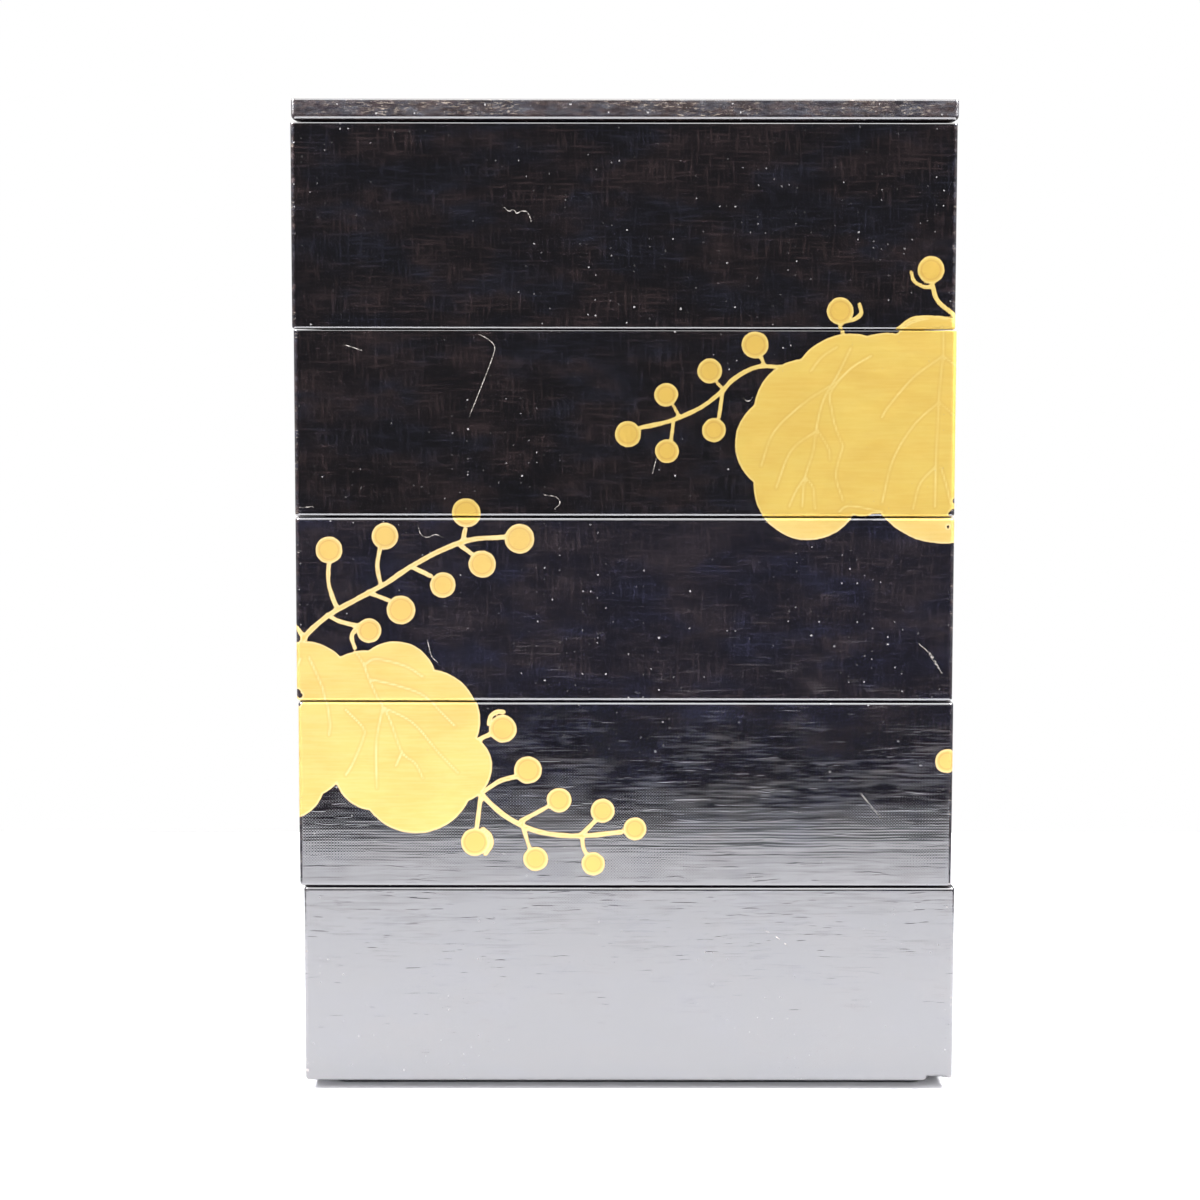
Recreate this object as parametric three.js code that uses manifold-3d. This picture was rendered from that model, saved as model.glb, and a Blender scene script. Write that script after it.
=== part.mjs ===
// Stacking food box of black lacquer over cloth and wood: five square tiers and a thin lid.
// Each tier is an open box whose bottom board stands proud below the walls, so that it nests
// inside the rim of the tier under it. The lowest board is what the whole stack stands on.
// Millimetres, +Z up, the decorated front faces -Y, the origin is under the stack's middle.

import * as THREE from 'three';
import { mergeVertices } from 'three/addons/utils/BufferGeometryUtils.js';
import Module from 'manifold-3d';

// Plan of every tier and of the lid
const WIDTH = 227;
const DEPTH = 212;
const CORNER_RADIUS = 1.6;

// Walls and bottom boards
const WALL = 7.5;
const EDGE_RADIUS = 1.1;
const INNER_CORNER_RADIUS = 4;
const FLOOR = 3.5;

// Nesting board: how far it stands proud, and how it fits the rim below
const BOARD_DROP = 3;
const BOARD_CORNER_RADIUS = 5;
const BOARD_EDGE = 0.6;
const NEST_CLEARANCE = 1.7;
const SIDE_GAP = 0.3;
const SEAT_GAP = 0.3;

// Heights of the tiers' walls: the lowest and the top tier are the deep ones
const BOTTOM_HEIGHT = 68.8;
const FOURTH_HEIGHT = 64.7;
const THIRD_HEIGHT = 63.7;
const SECOND_HEIGHT = 63.8;
const TOP_HEIGHT = 70;

// Tiers from the lowest up. slip is how far the tier is pushed along X from the one below it,
// as a share of the play that the nesting leaves.
const TIERS = [
  { name: 'bottom_tier', height: BOTTOM_HEIGHT, slip: 0 },
  { name: 'fourth_tier', height: FOURTH_HEIGHT, slip: -0.96 },
  { name: 'third_tier', height: THIRD_HEIGHT, slip: -0.33 },
  { name: 'second_tier', height: SECOND_HEIGHT, slip: -0.03 },
  { name: 'top_tier', height: TOP_HEIGHT, slip: -0.38 },
];

// Lid: a thin board whose underside slopes in to the strip that bears on the rim
const LID_THICKNESS = 6.6;
const LID_EDGE_RADIUS = 1;
const LID_LIFT = 1;
const LID_SLOPE = 2.3;
const LID_SLIP = 0.23;

// Chip broken out of the lowest tier's front right corner
const CHIP_LENGTH = 9.5;
const CHIP_HEIGHT = 2;
const CHIP_REACH = 6;

// Facets on each rounded corner and rounded edge
const CORNER_STEPS = 2;
const EDGE_STEPS = 3;

const wasm = await Module();
wasm.setup();

function toSolid(geometry) {
  const bare = geometry.clone();
  bare.deleteAttribute('normal');
  bare.deleteAttribute('uv');
  const welded = mergeVertices(bare);
  return new wasm.Manifold(new wasm.Mesh({
    numProp: 3,
    vertProperties: new Float32Array(welded.attributes.position.array),
    triVerts: new Uint32Array(welded.index.array),
  }));
}

function toGeometry(solid) {
  const mesh = solid.getMesh();
  const geometry = new THREE.BufferGeometry();
  geometry.setAttribute('position', new THREE.BufferAttribute(mesh.vertProperties, 3));
  geometry.setIndex(new THREE.BufferAttribute(mesh.triVerts, 1));
  geometry.computeVertexNormals();
  return geometry;
}

// Rectangle with round corners, inset on all sides from the plan of the stack.
function outline(path, inset, radius) {
  const x = WIDTH / 2 - inset;
  const y = DEPTH / 2 - inset;
  path.moveTo(radius - x, -y);
  path.lineTo(x - radius, -y);
  path.absarc(x - radius, radius - y, radius, -Math.PI / 2, 0);
  path.lineTo(x, y - radius);
  path.absarc(x - radius, y - radius, radius, 0, Math.PI / 2);
  path.lineTo(radius - x, y);
  path.absarc(radius - x, y - radius, radius, Math.PI / 2, Math.PI);
  path.lineTo(-x, radius - y);
  path.absarc(radius - x, radius - y, radius, Math.PI, Math.PI * 1.5);
  return path;
}

// Upright prism of a plan shape from z = bottom to top, its top and bottom edges rounded.
function prism(shape, bottom, top, edge, steps) {
  const geometry = new THREE.ExtrudeGeometry(shape, {
    depth: top - bottom - 2 * edge,
    curveSegments: CORNER_STEPS,
    bevelEnabled: true,
    bevelThickness: edge,
    bevelSize: edge,
    bevelOffset: -edge,
    bevelSegments: steps,
  });
  geometry.translate(0, 0, bottom + edge);
  return toSolid(geometry);
}

// Board inside the rim below: the tier's own bottom, or the step under the lid.
function nestingBoard(top) {
  const plan = outline(new THREE.Shape(), WALL + NEST_CLEARANCE, BOARD_CORNER_RADIUS);
  return prism(plan, -BOARD_DROP, top, BOARD_EDGE, 1);
}

// Open box from z = 0 up, with the nesting board below it.
function tierSolid(height) {
  const ring = outline(new THREE.Shape(), 0, CORNER_RADIUS);
  ring.holes.push(outline(new THREE.Path(), WALL, INNER_CORNER_RADIUS));
  const walls = prism(ring, 0, height, EDGE_RADIUS, EDGE_STEPS);
  const halfWall = WALL / 2;
  const plan = outline(new THREE.Shape(), halfWall, INNER_CORNER_RADIUS + halfWall);
  const plate = new THREE.ExtrudeGeometry(plan, {
    depth: FLOOR,
    curveSegments: CORNER_STEPS,
    bevelEnabled: false,
  });
  return walls.add(toSolid(plate)).add(nestingBoard(FLOOR));
}

// Broken corner: a sloping fracture drawn across the front wall and run along its lower edge.
function chipSolid() {
  const spill = 1;
  const section = new THREE.Shape([
    new THREE.Vector2(-spill, -spill),
    new THREE.Vector2(CHIP_REACH, -spill),
    new THREE.Vector2(CHIP_REACH, CHIP_HEIGHT * 0.15),
    new THREE.Vector2(CHIP_REACH * 0.4, CHIP_HEIGHT * 0.5),
    new THREE.Vector2(0, CHIP_HEIGHT),
    new THREE.Vector2(-spill, CHIP_HEIGHT),
  ]);
  const geometry = new THREE.ExtrudeGeometry(section, {
    depth: CHIP_LENGTH + spill,
    bevelEnabled: false,
  });
  const along = new THREE.Matrix4().makeBasis(
    new THREE.Vector3(0, 1, 0),
    new THREE.Vector3(0, 0, 1),
    new THREE.Vector3(1, 0, 0),
  );
  geometry.applyMatrix4(along);
  geometry.translate(WIDTH / 2 - CHIP_LENGTH, -DEPTH / 2, 0);
  return toSolid(geometry);
}

// Lid from z = 0, where it bears on the rim, up: slope, board, and the nesting step below.
function lidSolid() {
  const board = prism(
    outline(new THREE.Shape(), 0, CORNER_RADIUS),
    LID_LIFT,
    LID_LIFT + LID_THICKNESS,
    LID_EDGE_RADIUS,
    EDGE_STEPS,
  );
  const underside = new THREE.ExtrudeGeometry(
    outline(new THREE.Shape(), LID_EDGE_RADIUS, CORNER_RADIUS + LID_SLOPE),
    {
      depth: LID_THICKNESS / 2,
      curveSegments: CORNER_STEPS,
      bevelEnabled: true,
      bevelThickness: LID_LIFT,
      bevelSize: LID_SLOPE,
      bevelOffset: -LID_SLOPE,
      bevelSegments: 1,
    },
  );
  underside.translate(0, 0, LID_LIFT);
  return board.add(toSolid(underside)).add(nestingBoard(LID_LIFT));
}

function lacquered(name, geometry, color, roughness) {
  const material = new THREE.MeshStandardMaterial({ color, roughness, metalness: 0 });
  const mesh = new THREE.Mesh(geometry, material);
  mesh.name = name;
  return mesh;
}

const play = NEST_CLEARANCE - SIDE_GAP;
const stack = new THREE.Group();
let z = BOARD_DROP;
let x = 0;
for (const tier of TIERS) {
  x += tier.slip * play;
  const whole = tierSolid(tier.height);
  const solid = tier === TIERS[0] ? whole.subtract(chipSolid()) : whole;
  const mesh = lacquered(tier.name, toGeometry(solid), 0x16130f, 0.25);
  mesh.position.set(x, 0, z);
  stack.add(mesh);
  z += tier.height + SEAT_GAP;
}
const lid = lacquered('lid', toGeometry(lidSolid()), 0x2a211d, 0.4);
lid.position.set(x + LID_SLIP * play, 0, z);
stack.add(lid);

// The slips leave the stack off centre, so it is moved back over the origin.
const offsets = stack.children.map((mesh) => mesh.position.x);
stack.position.x = -(Math.min(...offsets) + Math.max(...offsets)) / 2;

export default stack;
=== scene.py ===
"""Stacking food box: five square lacquered tiers with gold leaves and buds, and a thin lid.

Lengths are in millimetres while a shape is worked out and in metres in the mesh. The decorated
front faces -Y and the stack stands on z = 0.
"""

import bpy
import numpy as np
from mathutils import Matrix, Vector


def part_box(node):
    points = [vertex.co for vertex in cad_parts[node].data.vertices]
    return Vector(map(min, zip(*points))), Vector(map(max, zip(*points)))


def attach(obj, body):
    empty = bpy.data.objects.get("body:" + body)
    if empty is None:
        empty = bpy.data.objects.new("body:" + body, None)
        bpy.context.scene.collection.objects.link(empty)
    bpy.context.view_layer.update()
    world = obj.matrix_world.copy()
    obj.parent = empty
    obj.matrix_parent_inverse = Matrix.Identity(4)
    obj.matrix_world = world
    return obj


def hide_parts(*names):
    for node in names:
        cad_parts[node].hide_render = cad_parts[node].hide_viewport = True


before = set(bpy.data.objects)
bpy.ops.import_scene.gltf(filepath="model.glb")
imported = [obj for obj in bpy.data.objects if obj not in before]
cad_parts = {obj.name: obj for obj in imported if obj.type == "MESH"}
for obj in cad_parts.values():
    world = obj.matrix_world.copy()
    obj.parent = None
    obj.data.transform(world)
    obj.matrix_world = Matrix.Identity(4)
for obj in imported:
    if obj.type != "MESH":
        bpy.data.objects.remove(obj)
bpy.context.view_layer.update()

scene = bpy.context.scene

# Bottom tier: an open box of thin boards, its plain lacquered walls the deepest of the lower four.
# Cloth is pasted over the wood and lacquered black; the board it stands on is set in under the
# walls. A splinter is broken out of its lower front right corner.

HALF_WIDTH = 113.5
HALF_DEPTH = 106.0
CORNER_RADIUS = 1.6
WALL = 7.5
EDGE_RADIUS = 1.1
FLOOR_TOP = 3.5
BOARD_DROP = 3.0
BOARD_INSET = 9.2
MIDDLE_INSET = 60.0
CHIP_LENGTH = 9.5
CHIP_HEIGHT = 2.0
CHIP_REACH = 6.0
THREAD_PITCH = 1.0
FRONT_COLUMNS = 301
GILDED_SIDE = 74
GILDED_STEP = 0.95
PLAIN_COLUMNS = 30
BACK_COLUMNS = 22


def plan_columns():
    """Columns round the plan, anticlockwise from the middle of the back.

    Each holds its share of the straight run (less the corner radius) in x and y, its outward
    direction, and the cloth length from the middle of the front, which is less than 0 on the left.
    The front and the near part of each side are fine, for the gold. The rest is coarse.
    """
    run_x = HALF_WIDTH - CORNER_RADIUS
    run_y = HALF_DEPTH - CORNER_RADIUS
    front = np.linspace(-1, 1, FRONT_COLUMNS)
    near = np.arange(0, GILDED_SIDE, GILDED_STEP)
    far = np.linspace(GILDED_SIDE + 2, 2 * run_y, PLAIN_COLUMNS)
    side = np.concatenate([near, far]) / run_y - 1
    back = np.linspace(0, 1, BACK_COLUMNS)
    turn = np.linspace(0, np.pi / 2, 6)[1:-1]

    def straight(shares, share_is_x, other, outward):
        other = np.full_like(shares, other)
        pair = (shares, other) if share_is_x else (other, shares)
        return np.array([*pair, np.full_like(shares, outward[0]), np.full_like(shares, outward[1])])

    def corner(x_sign, y_sign, start):
        angle = turn + start
        ones = np.ones_like(angle)
        return np.array([x_sign * ones, y_sign * ones, np.cos(angle), np.sin(angle)])

    columns = np.concatenate(
        [
            straight(-back, True, 1, (0, 1)),
            corner(-1, 1, np.pi / 2),
            straight(side[::-1], False, -1, (-1, 0)),
            corner(-1, -1, np.pi),
            straight(front, True, -1, (0, -1)),
            corner(1, -1, -np.pi / 2),
            straight(side, False, 1, (1, 0)),
            corner(1, 1, 0),
            straight(back[::-1], True, 1, (0, 1)),
        ],
        axis=1,
    )
    x = columns[0] * run_x + columns[2] * CORNER_RADIUS
    y = columns[1] * run_y + columns[3] * CORNER_RADIUS
    length = np.concatenate([[0], np.cumsum(np.hypot(np.diff(x), np.diff(y)))])
    return columns[:, :-1], length - length[-1] / 2


COLUMNS, CLOTH_ROUND = plan_columns()


def profile_rows(corners, steps):
    """Rows of a profile through corners (inset, height, rounding).

    Each inner corner becomes an arc tangent to both runs, with a guard row just outside each end.
    Each run is filled with rows no further apart than its step. Returns inset, height and the
    number of the run that each row ends.
    """
    points = np.array([c[:2] for c in corners], float)
    ends = [points[0]]
    arcs = []
    for k in range(1, len(points) - 1):
        back = points[k - 1] - points[k]
        on = points[k + 1] - points[k]
        back /= np.linalg.norm(back)
        on /= np.linalg.norm(on)
        half = np.arccos(np.clip(back @ on, -1, 1)) / 2
        radius = corners[k][2]
        trim = radius / np.tan(half)
        centre = points[k] + (back + on) / np.linalg.norm(back + on) * radius / np.sin(half)
        first = points[k] + back * trim
        last = points[k] + on * trim
        sweep = np.pi - 2 * half
        share = np.linspace(0, 1, 7)[:, None]
        arc = np.sin((1 - share) * sweep) * (first - centre) + np.sin(share * sweep) * (last - centre)
        arcs.append(centre + arc / np.sin(sweep))
        ends += [first, last]
    ends.append(points[-1])
    rows = []
    runs = []
    for k, step in enumerate(steps):
        start = ends[2 * k]
        stop = ends[2 * k + 1]
        length = np.linalg.norm(stop - start)
        guard = min(0.2, length / 4)
        count = max(2, int(np.ceil((length - 2 * guard) / step)) + 1)
        along = np.concatenate([[0], np.linspace(guard, length - guard, count), [length]]) / length
        rows.append(start + along[:, None] * (stop - start))
        runs.append(np.full(len(along), k))
        if k < len(arcs):
            rows.append(arcs[k][1:-1])
            runs.append(np.full(len(arcs[k]) - 2, k + 0.5))
    rows = np.concatenate(rows)
    return rows[:, 0], rows[:, 1], np.concatenate(runs)


def ring_points(inset, height, middle_x):
    """Points of the rings: every ring is a rectangle with round corners, set in from the plan.

    x = share * (half width - inset - radius) + outward * radius, and the same in y. The radius of
    the corners is a broken line over the inset.
    """
    radius = np.interp(
        inset,
        [0, EDGE_RADIUS, WALL - EDGE_RADIUS, WALL, BOARD_INSET, 10, MIDDLE_INSET],
        [CORNER_RADIUS, CORNER_RADIUS - EDGE_RADIUS, 5.1, 4, 5, 4.4, 20],
    )
    share_x, share_y, out_x, out_y = COLUMNS
    x = middle_x + share_x * (HALF_WIDTH - inset - radius) + out_x * radius
    y = share_y * (HALF_DEPTH - inset - radius) + out_y * radius
    return np.stack([x, y, np.broadcast_to(height, x.shape)], axis=-1)


def ringed_mesh(name, points, inset, runs, level_runs):
    """Closed mesh from rows of rings, with a point in the middle of the first and the last ring.

    The cloth map gives the length round the walls and up the profile in millimetres, and plain x
    and y on the level runs.
    """
    count_rows, count_columns = points.shape[:2]
    middles = points[[0, -1]].mean(axis=1)
    vertices = np.concatenate([points.reshape(-1, 3), middles])
    column = np.arange(count_columns)
    following = (column + 1) % count_columns
    base = np.arange(count_rows - 1)[:, None] * count_columns
    quads = np.stack(
        [
            base + column,
            base + following,
            base + count_columns + following,
            base + count_columns + column,
        ],
        axis=-1,
    ).reshape(-1, 4)
    first = len(vertices) - 2
    top = (count_rows - 1) * count_columns
    fans = np.concatenate(
        [
            np.stack([np.full(count_columns, first), following, column], axis=-1),
            np.stack([np.full(count_columns, first + 1), top + column, top + following], axis=-1),
        ]
    )
    loops = np.concatenate([quads.ravel(), fans.ravel()])
    sizes = np.concatenate([np.full(len(quads), 4), np.full(len(fans), 3)])
    mesh = bpy.data.meshes.new(name)
    mesh.vertices.add(len(vertices))
    mesh.vertices.foreach_set("co", (vertices * 0.001).ravel().astype(np.float32))
    mesh.loops.add(len(loops))
    mesh.loops.foreach_set("vertex_index", loops.astype(np.int32))
    mesh.polygons.add(len(sizes))
    starts = np.concatenate([[0], np.cumsum(sizes)[:-1]])
    mesh.polygons.foreach_set("loop_start", starts.astype(np.int32))
    mesh.update(calc_edges=True)
    mesh.validate()
    mesh.shade_smooth()
    mid_column = count_columns // 2
    path = points[:, mid_column, 1:]
    climb = np.concatenate([[0], np.cumsum(np.hypot(*np.diff(path, axis=0).T))])
    outer = np.argmax(inset <= 1e-6)
    climb += path[outer, 1] - climb[outer]
    shift = 3.7 * path[outer, 1]
    row = np.arange(count_rows - 1)[:, None]
    round_here = np.broadcast_to(CLOTH_ROUND[:-1] + shift, (count_rows - 1, count_columns))
    round_next = np.broadcast_to(CLOTH_ROUND[1:] + shift, (count_rows - 1, count_columns))
    up_here = np.broadcast_to(climb[row], round_here.shape)
    up_next = np.broadcast_to(climb[row + 1], round_here.shape)
    draped = np.stack(
        [round_here, up_here, round_next, up_here, round_next, up_next, round_here, up_next],
        axis=-1,
    ).reshape(-1, 4, 2)
    level = np.isin(runs[1:], level_runs) & np.isin(runs[:-1], level_runs)
    level = np.repeat(level, count_columns)
    flat = vertices[quads][..., :2]
    cloth = np.where(level[:, None, None], flat, draped).reshape(-1, 2)
    cloth = np.concatenate([cloth, vertices[fans.ravel()][:, :2]])
    layer = mesh.uv_layers.new(name="cloth")
    layer.uv.foreach_set("vector", cloth.ravel().astype(np.float32))
    return mesh


def add_field(mesh, name, values, middle_value):
    """Puts a field on the points of a mesh, with its value at the two middles."""
    layer = mesh.attributes.new(name, "FLOAT", "POINT")
    padded = np.concatenate([values.ravel(), [middle_value, middle_value]])
    layer.data.foreach_set("value", padded.astype(np.float32))


def stand_for(piece, node):
    """Takes the place of the frame's solid."""
    scene.collection.objects.link(piece)
    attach(piece, "root")
    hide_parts(node)


def node_of(tree, kind, inputs, **settings):
    """New node of that kind. Inputs are joined where a socket is given, and set where a value is."""
    made = tree.nodes.new(kind)
    for key, value in settings.items():
        setattr(made, key, value)
    for key, value in inputs.items():
        if isinstance(value, bpy.types.NodeSocket):
            tree.links.new(value, made.inputs[key])
        else:
            made.inputs[key].default_value = value
    return made


def sum_of(tree, operation, *values, clamp=False):
    """Output of a Math node."""
    inputs = dict(enumerate(values))
    return node_of(tree, "ShaderNodeMath", inputs, operation=operation, use_clamp=clamp).outputs[0]


def ramp_of(tree, value, low, high, start=0.0, stop=1.0):
    """Value carried smoothly from start to stop as it goes from low to high."""
    inputs = {"Value": value, "From Min": low, "From Max": high, "To Min": start, "To Max": stop}
    made = node_of(tree, "ShaderNodeMapRange", inputs, interpolation_type="SMOOTHSTEP")
    return made.outputs["Result"]


def blend_of(tree, share, first, second):
    """Colour between first and second."""
    made = node_of(tree, "ShaderNodeMix", {0: share, 6: first, 7: second}, data_type="RGBA")
    return made.outputs[2]


def noise_of(tree, place, lengths, detail=2.0, roughness=0.5):
    """Noise whose lumps are as long as lengths, in the units of place."""
    scale = [1 / length for length in lengths]
    stretched = node_of(tree, "ShaderNodeVectorMath", {0: place, 1: scale}, operation="MULTIPLY")
    inputs = {
        "Vector": stretched.outputs[0],
        "Scale": 1.0,
        "Detail": detail,
        "Roughness": roughness,
    }
    return node_of(tree, "ShaderNodeTexNoise", inputs)


WEAVE_FILLED = 0.8
RUBBED_BROWN = (0.016, 0.0095, 0.0105, 1)
RUBBED_BLUE = (0.0125, 0.0125, 0.018, 1)
PALE_SCRATCH = (0.16, 0.135, 0.11, 1)
DUST_CELLS = 0.38
DUST_SIZE = 0.11
DUST_COLOUR = (0.115, 0.11, 0.11, 1)
LINT_COLOUR = (0.22, 0.2, 0.18, 1)
FLUFF_DULLNESS = 0.7


def field_of(tree, name):
    """Value of one of the fields on the points of the mesh."""
    return node_of(tree, "ShaderNodeAttribute", {}, attribute_name=name).outputs["Fac"]


def split_of(tree, colour):
    """Three values of a colour."""
    return node_of(tree, "ShaderNodeSeparateColor", {0: colour}).outputs


def threads_of(tree, cloth, weave_height, slub_height, knot_height):
    """Height of the cloth in millimetres, and the fibres that show through the lacquer.

    Warp and weft are cosines of the cloth map at the thread pitch, let drift by a slow noise. The
    weave is the cube of their product with a little of each, uneven from thread to thread, and
    lies on long level slubs, short knots and slow waves.
    """
    drift = noise_of(tree, cloth, (26, 26, 26), detail=1).outputs["Color"]
    middle = {0: drift, 1: (0.5, 0.5, 0.5)}
    drift = node_of(tree, "ShaderNodeVectorMath", middle, operation="SUBTRACT").outputs[0]
    drift = node_of(tree, "ShaderNodeVectorMath", {0: drift, "Scale": 0.9}, operation="SCALE")
    shifted = {0: cloth, 1: drift.outputs[0]}
    threads = node_of(tree, "ShaderNodeVectorMath", shifted, operation="ADD").outputs[0]
    across = node_of(tree, "ShaderNodeSeparateXYZ", {0: threads})
    turns = 2 * np.pi / THREAD_PITCH
    warp = sum_of(tree, "COSINE", sum_of(tree, "MULTIPLY", across.outputs[0], turns))
    weft = sum_of(tree, "COSINE", sum_of(tree, "MULTIPLY", across.outputs[1], turns))
    warp_uneven = noise_of(tree, threads, (0.9, 9, 9)).outputs[0]
    weft_uneven = noise_of(tree, threads, (11, 0.9, 9)).outputs[0]
    warp_strength = ramp_of(tree, warp_uneven, 0.3, 0.75, 0.2, 1.2)
    weft_strength = ramp_of(tree, weft_uneven, 0.35, 0.75, 0.5, 1.7)
    crossings = sum_of(tree, "MULTIPLY", warp, weft)
    bumps = sum_of(tree, "MULTIPLY", sum_of(tree, "POWER", crossings, 3.0), weft_strength)
    ribs = sum_of(tree, "MULTIPLY", warp, warp_strength)
    ribs = sum_of(tree, "MULTIPLY_ADD", weft, weft_strength, ribs)
    weave = sum_of(tree, "MULTIPLY_ADD", ribs, 0.15, bumps)
    thin = noise_of(tree, cloth, (26, 9, 9), detail=3, roughness=0.6).outputs[0]
    weave = sum_of(tree, "MULTIPLY", weave, ramp_of(tree, thin, 0.36, 0.7, 0.45, 1.4))
    slubs = noise_of(tree, threads, (60, 3.2, 9), detail=2, roughness=0.5).outputs[0]
    knots = noise_of(tree, threads, (13, 1.5, 9), detail=2, roughness=0.6).outputs[0]
    waves = noise_of(tree, cloth, (70, 45, 40), detail=1).outputs[0]
    height = sum_of(tree, "MULTIPLY", weave, weave_height)
    height = sum_of(tree, "MULTIPLY_ADD", slubs, slub_height, height)
    height = sum_of(tree, "MULTIPLY_ADD", ramp_of(tree, knots, 0.6, 0.76), knot_height, height)
    height = sum_of(tree, "MULTIPLY_ADD", waves, 0.06, height)
    fibres = ramp_of(tree, sum_of(tree, "MAXIMUM", warp_uneven, weft_uneven), 0.48, 0.72)
    fibres = sum_of(tree, "MULTIPLY_ADD", crossings, 0.35, fibres)
    fibres = sum_of(tree, "MULTIPLY", fibres, ramp_of(tree, thin, 0.3, 0.65, 0.3, 1))
    return threads, weave, height, fibres


def gild(tree, place, threads, worn, patches, leaf_gold, surface, weave, weave_height):
    """Lays gold on the surface (colour, roughness, height) and gives how much of it lies there.

    The gold lies where the gold field, made a little ragged by noise, is below 0, and not where
    the lacquer is worn through. It is cloudy and streaked, and darker at its very edge. It is
    paler on the raised veins and just inside its rim as painted highlight, and darker along the
    veins' sides as painted shade. The buds are more orange, each with a darker ring inside it
    painted as shade. It fills most of the weave.
    """
    colour, roughness, height = surface
    red, green, blue_part = leaf_gold
    deep = (red * 0.96, green * 0.9, blue_part * 0.82, 1)
    # pale: paler gold for the streaks, and painted highlight on the raised veins and the rim
    pale = (red * 1.1, green * 1.2, blue_part * 1.95, 1)
    orange = (red * 0.98, green * 0.91, blue_part * 0.83, 1)
    # shaded: painted shade along the sides of the raised veins
    shaded = (red * 0.88, green * 0.8, blue_part * 0.75, 1)
    # darker, more orange colour of the ring painted as shade inside each bud
    bud_ring_shade_colour = (red * 0.8, green * 0.62, blue_part * 0.6, 1)
    ochre = (red * 0.7, green * 0.5, blue_part * 0.4, 1)

    ragged = noise_of(tree, place, (1.6, 1.6, 1.6), detail=2).outputs[0]
    wobble = noise_of(tree, place, (7, 7, 7), detail=1).outputs[0]
    ragged = sum_of(tree, "MULTIPLY_ADD", ragged, 0.3, -0.4)
    ragged = sum_of(tree, "MULTIPLY_ADD", wobble, 0.5, ragged)
    edge = sum_of(tree, "ADD", field_of(tree, "gold"), ragged)
    edge = sum_of(tree, "MAXIMUM", edge, ramp_of(tree, worn, 0.5, 1.0, -9.0, 0.4))
    gold = ramp_of(tree, edge, 0.07, -0.07)
    vein = field_of(tree, "vein")
    # Painted shade: darker gold along both sides of each raised vein
    vein_side_shade = sum_of(tree, "MULTIPLY", ramp_of(tree, vein, 1.3, 0.7), 0.35)
    # Vein mask: painted highlight, paler gold on the raised veins; it also raises their film
    vein = ramp_of(tree, vein, 0.6, 0.1)
    vein = sum_of(tree, "MULTIPLY", vein, ramp_of(tree, patches, 0.35, 0.6, 0.4, 0.9))
    # Painted highlight: paler gold just inside the edge of the gold
    rim = sum_of(tree, "MULTIPLY", ramp_of(tree, edge, -0.8, -0.3), gold)
    fringe = sum_of(tree, "MULTIPLY", ramp_of(tree, edge, -0.3, -0.05), 0.55)
    bud = field_of(tree, "bud")
    # Painted shade: a darker, more orange ring inside each bud
    bud_ring_shade = sum_of(tree, "ABSOLUTE", sum_of(tree, "SUBTRACT", bud, -1.35))
    bud_ring_shade = ramp_of(tree, bud_ring_shade, 0.42, 0.05, 0.0, 0.6)

    cloud = noise_of(tree, place, (22, 22, 9), detail=5, roughness=0.6).outputs[0]
    leaf = blend_of(tree, ramp_of(tree, cloud, 0.35, 0.65), deep, (*leaf_gold, 1))
    streak = noise_of(tree, threads, (12, 0.93, 9), detail=1).outputs[0]
    leaf = blend_of(tree, ramp_of(tree, streak, 0.35, 0.7, 0, 0.15), leaf, pale)
    leaf = blend_of(tree, vein_side_shade, leaf, shaded)
    leaf = blend_of(tree, ramp_of(tree, bud, -1.3, -2.0), leaf, orange)
    leaf = blend_of(tree, bud_ring_shade, leaf, bud_ring_shade_colour)
    leaf = blend_of(tree, sum_of(tree, "MAXIMUM", vein, rim), leaf, pale)
    leaf = blend_of(tree, fringe, leaf, ochre)
    colour = blend_of(tree, gold, colour, leaf)
    roughness = sum_of(tree, "MULTIPLY_ADD", gold, 0.5, roughness)
    film = ramp_of(tree, edge, 0.1, -0.35, 0.0, 0.03)
    film = sum_of(tree, "MULTIPLY_ADD", vein, 0.012, film)
    height = sum_of(tree, "ADD", height, film)
    filled = sum_of(tree, "MULTIPLY", weave, gold)
    height = sum_of(tree, "MULTIPLY_ADD", filled, -WEAVE_FILLED * weave_height, height)
    return gold, (colour, roughness, height)


def dust_of(tree, cloth, wear):
    """White dust: specks in the middles of cells, most of them tiny, and more near worn edges."""
    fluff = noise_of(tree, cloth, (1.1, 1.1, 1.1), detail=1).outputs["Color"]
    fluff = node_of(tree, "ShaderNodeVectorMath", {0: fluff, "Scale": 0.9}, operation="SCALE")
    shifted = {0: cloth, 1: fluff.outputs[0]}
    shifted = node_of(tree, "ShaderNodeVectorMath", shifted, operation="ADD").outputs[0]
    inputs = {"Vector": shifted, "Scale": DUST_CELLS, "Randomness": 1.0}
    cells = node_of(tree, "ShaderNodeTexVoronoi", inputs, voronoi_dimensions="2D")
    pick = split_of(tree, cells.outputs["Color"])
    where = noise_of(tree, cloth, (60, 45, 40), detail=2).outputs[0]
    where = sum_of(tree, "MULTIPLY_ADD", wear, 0.8, where)
    grain = sum_of(tree, "MULTIPLY", sum_of(tree, "POWER", pick[0], 8.0), DUST_SIZE)
    grain = sum_of(tree, "MULTIPLY", grain, ramp_of(tree, where, 0.36, 0.62, 0.3, 1.2))
    dust = ramp_of(tree, sum_of(tree, "SUBTRACT", cells.outputs["Distance"], grain), 0.015, -0.015)
    return sum_of(tree, "MULTIPLY", dust, ramp_of(tree, pick[1], 0.2, 1.0, 0.2, 1.0))


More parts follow.
